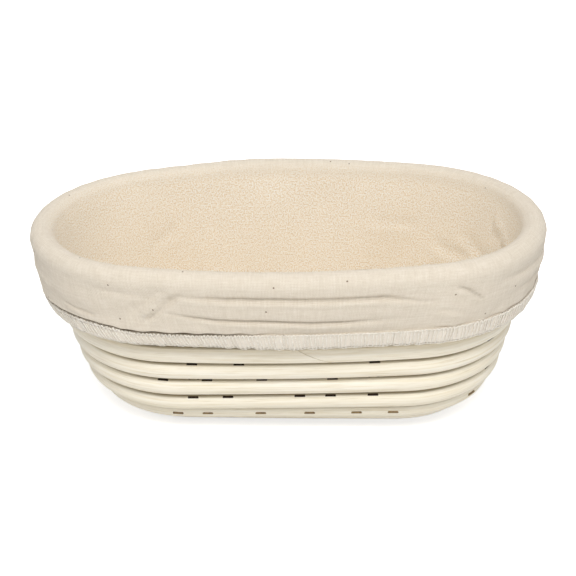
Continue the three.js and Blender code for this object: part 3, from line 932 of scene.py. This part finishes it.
def make_panel():
    """The oval base of the liner, lying on the wound base."""
    clear_selection()
    bpy.ops.mesh.primitive_circle_add(vertices=len(TURNS), radius=1, fill_type="NGON")
    panel = bpy.context.object
    rim = place(TURNS, np.full(len(TURNS), FLAT_REACH - SEAM_GAP), np.zeros(len(TURNS)))
    rim[:, 2] = LOW_HEIGHT + CLOTH_FACE - PANEL_DIP
    move_points(panel, rim * MM)
    bpy.ops.object.mode_set(mode="EDIT")
    bpy.ops.mesh.select_all(action="SELECT")
    bpy.ops.mesh.normals_make_consistent(inside=False)
    for step in PANEL_INSETS:
        bpy.ops.mesh.inset(thickness=step * MM)
    bpy.ops.mesh.quads_convert_to_tris()
    bpy.ops.object.mode_set(mode="OBJECT")
    points = points_of(panel) / MM
    inward = FLAT_REACH - np.hypot(np.maximum(np.abs(points[:, 0]) - CORE_HALF, 0), points[:, 1])
    swell = np.sin(points[:, 0] / 17 + 1) * np.cos(points[:, 1] / 13 + points[:, 0] / 29)
    points[:, 2] += PANEL_DIP * np.clip(inward / 1.5, 0, 1) + 0.22 * swell * np.clip(inward / 6, 0, 1)
    points[:, 2] = np.maximum(points[:, 2], LOW_HEIGHT + CLOTH_FACE - 0.35)
    move_points(panel, points * MM)
    weave = panel.data.uv_layers.get("weave") or panel.data.uv_layers.new(name="weave")
    corner = np.empty(len(panel.data.loops), int)
    panel.data.loops.foreach_get("vertex_index", corner)
    weave.data.foreach_set("uv", (points[corner][:, :2] * MM).astype(np.float32).ravel())
    apply_modifier(panel, "SOLIDIFY", thickness=CLOTH_THICK * MM, offset=-1)
    take(panel)
    bpy.ops.object.shade_smooth_by_angle(angle=math.radians(50))
    return finish_piece(panel, "base_panel", CLOTH, "liner", "cloth", "liner_base_panel")


ELASTIC_WIDTH = 6
ELASTIC_THICK = 0.8
ELASTIC_OUT = 7.0  # from the middle of the cane
ELASTIC_RISE = 1.9  # over the hem's lower edge
ELASTIC_WAVES = 60


def make_elastic():
    low = HEM_DEPTH + HEM_DROP - ELASTIC_RISE
    rows = np.linspace(0, ELASTIC_WIDTH, 5)
    along = RIM[:, None] - low[:, None] + rows
    wave = 0.12 * np.sin(2 * np.pi * ELASTIC_WAVES * GIRTH_AT[:-1] / GIRTH)[:, None]
    points = place(TURNS[:, None], along, ELASTIC_OUT + wave + 0 * along)
    elastic = grid_mesh("hem_elastic_strip", points[:, ::-1], np.broadcast_to(rows, along.shape), GIRTH_AT)
    apply_modifier(elastic, "SOLIDIFY", thickness=ELASTIC_THICK * MM, offset=-1)
    take(elastic)
    bpy.ops.object.shade_smooth_by_angle(angle=math.radians(40))
    return finish_piece(elastic, "hem_elastic_strip", ELASTIC, "liner", "elastic", "hem_elastic")


def on_band(column, row, lift):
    """A point over the band's face at a fractional column and row."""
    columns = len(TURNS)
    c0, r0 = np.floor(column).astype(int), np.minimum(np.floor(row).astype(int), BAND.shape[1] - 2)
    cs, rs = (column - c0)[:, None], (row - r0)[:, None]
    c0, c1 = c0 % columns, (c0 + 1) % columns

    def blend(grid):
        upper = grid[c0, r0] * (1 - cs) + grid[c1, r0] * cs
        lower = grid[c0, r0 + 1] * (1 - cs) + grid[c1, r0 + 1] * cs
        return upper * (1 - rs) + lower * rs

    return blend(BAND) + np.asarray(lift)[..., None] * blend(BAND_NORMALS)


STITCH_STEP = 1.9
THREAD_RADIUS = 0.34


def make_stitching():
    """Overlock threads: a slanted stitch across the hem every step, held by a wavy chain along each edge."""
    count = round(GIRTH / STITCH_STEP)
    columns = np.arange(len(GIRTH_AT))

    def column_at(stitch):
        length = stitch * GIRTH / count
        return np.interp(length % GIRTH, GIRTH_AT, columns)

    def top_row(column):
        """The stitches start lower where the skirt pouches over the hem."""
        return HEM_TOP_ROW + 1 + 2.5 * np.interp(column, columns, np.append(POUCH, POUCH[0]))

    low = HEM_LOW_ROW - 1.0
    paths = []
    for stitch in range(count):
        lean = RNG.uniform(0.7, 1.3)
        at = stitch + RNG.uniform(-0.18, 0.18) + lean * np.array([0, 0.12, 0.45, 0.8, 1.0])
        column = column_at(at)
        top = top_row(column)
        row = top + RNG.uniform(-0.8, 0.8) + (low - top) * np.array([0, 0.12, 0.5, 0.85, 1.0])
        paths.append((on_band(column, row, [0.0, 0.34, 0.26, 0.32, 0.1]), False))
    at = np.arange(count * 4) / 4
    for row, swing in ((top_row(column_at(at)) + 0.8, 0.9), (low - 1.2, 0.8)):
        wave = row + swing * np.sin(2 * np.pi * at) + RNG.uniform(-0.3, 0.3, len(at))
        paths.append((on_band(column_at(at), wave, np.full(len(at), 0.38)), True))
    clear_selection()
    bpy.ops.curve.primitive_nurbs_path_add()
    thread = bpy.context.object
    thread.data.splines.clear()
    thread.data.dimensions = "3D"
    thread.data.bevel_depth = THREAD_RADIUS * MM
    thread.data.bevel_resolution = 0
    thread.data.use_fill_caps = True
    for path, closed in paths:
        run = thread.data.splines.new("POLY")
        run.points.add(len(path) - 1)
        run.points.foreach_set("co", np.column_stack([path * MM, np.ones(len(path))]).ravel())
        run.use_cyclic_u = closed
    take(thread)
    bpy.ops.object.convert(target="MESH")
    thread = bpy.context.object
    bpy.ops.object.shade_smooth()
    return finish_piece(thread, "hem_stitching", THREAD, "liner", "cloth")


band = make_band()
panel = make_panel()
elastic = make_elastic()
stitching = make_stitching()

# Stage

FLOOR_GLOW = 0.62  # what a camera ray sees the floor add to its own shade
WORLD_LIGHT = 0.45
LAMPS = (  # place in metres, size and watts
    ("key", (0.0, -0.87, 1.3), 0.45, 11.3),
    ("top", (0.0, 0.15, 1.4), 0.9, 4.5),
    ("fill", (0.4, -1.5, 0.5), 1.2, 3),
)
LAMP_AIM = (0, 0, 0.06)
CAMERA_ANGLES = (27.45, -0.11, 0.23)  # raised, turned and rolled, in degrees
CAMERA_TARGET = (0.84, 0, 55.18)
CAMERA_DISTANCE = 563.27
CAMERA_LENS = 69.94
CAMERA_SENSOR = 36


def make_floor():
    clear_selection()
    bpy.ops.mesh.primitive_plane_add(size=12, location=(0, 0, -0.0003))
    floor = bpy.context.object
    floor.name = "floor"
    look = Finish("white_floor")
    seen = look.add("LightPath").outputs["Is Camera Ray"]
    look.shade(Base_Color=grey(0.86), Roughness=0.9, Specular_IOR_Level=0.0, Emission_Color=grey(1))
    look.shade(Emission_Strength=look.math("MULTIPLY", seen, FLOOR_GLOW))
    floor.data.materials.append(look.material)


def make_world():
    world = bpy.data.worlds.new("studio")
    bpy.context.scene.world = world
    world.use_nodes = True
    nodes, links = world.node_tree.nodes, world.node_tree.links
    background = nodes["Background"]
    path = nodes.new("ShaderNodeLightPath")
    seen = nodes.new("ShaderNodeMath")
    seen.operation = "MAXIMUM"
    links.new(path.outputs["Is Camera Ray"], seen.inputs[0])
    links.new(path.outputs["Is Glossy Ray"], seen.inputs[1])
    strength = nodes.new("ShaderNodeMapRange")
    strength.inputs["To Min"].default_value = WORLD_LIGHT
    strength.inputs["To Max"].default_value = 1.0
    links.new(seen.outputs[0], strength.inputs["Value"])
    links.new(strength.outputs[0], background.inputs["Strength"])
    background.inputs["Color"].default_value = grey(1)


def make_lamp(name, location, size, watts):
    bpy.ops.object.light_add(type="AREA", location=location)
    lamp = bpy.context.object
    lamp.name = name
    lamp.data.size = size
    lamp.data.energy = watts
    lamp.rotation_mode = "QUATERNION"
    lamp.rotation_quaternion = (Vector(LAMP_AIM) - Vector(location)).to_track_quat("-Z", "Y")


def make_camera():
    """At the photograph's place: turned, raised and rolled about a point in the basket."""
    raised, turned, rolled = (math.radians(angle) for angle in CAMERA_ANGLES)
    target = Vector(CAMERA_TARGET) * MM
    level = math.cos(raised)
    away = Vector((-math.sin(turned) * level, -math.cos(turned) * level, math.sin(raised)))
    bpy.ops.object.camera_add(location=target + away * CAMERA_DISTANCE * MM)
    camera = bpy.context.object
    camera.data.sensor_width = CAMERA_SENSOR
    camera.data.lens = CAMERA_LENS
    camera.rotation_mode = "QUATERNION"
    camera.rotation_quaternion = (-away).to_track_quat("-Z", "Y") @ Quaternion((0, 0, 1), rolled)
    bpy.context.scene.camera = camera


clear_selection()
make_floor()
make_world()
for lamp in LAMPS:
    make_lamp(*lamp)
make_camera()
bpy.context.scene.view_settings.view_transform = "Standard"
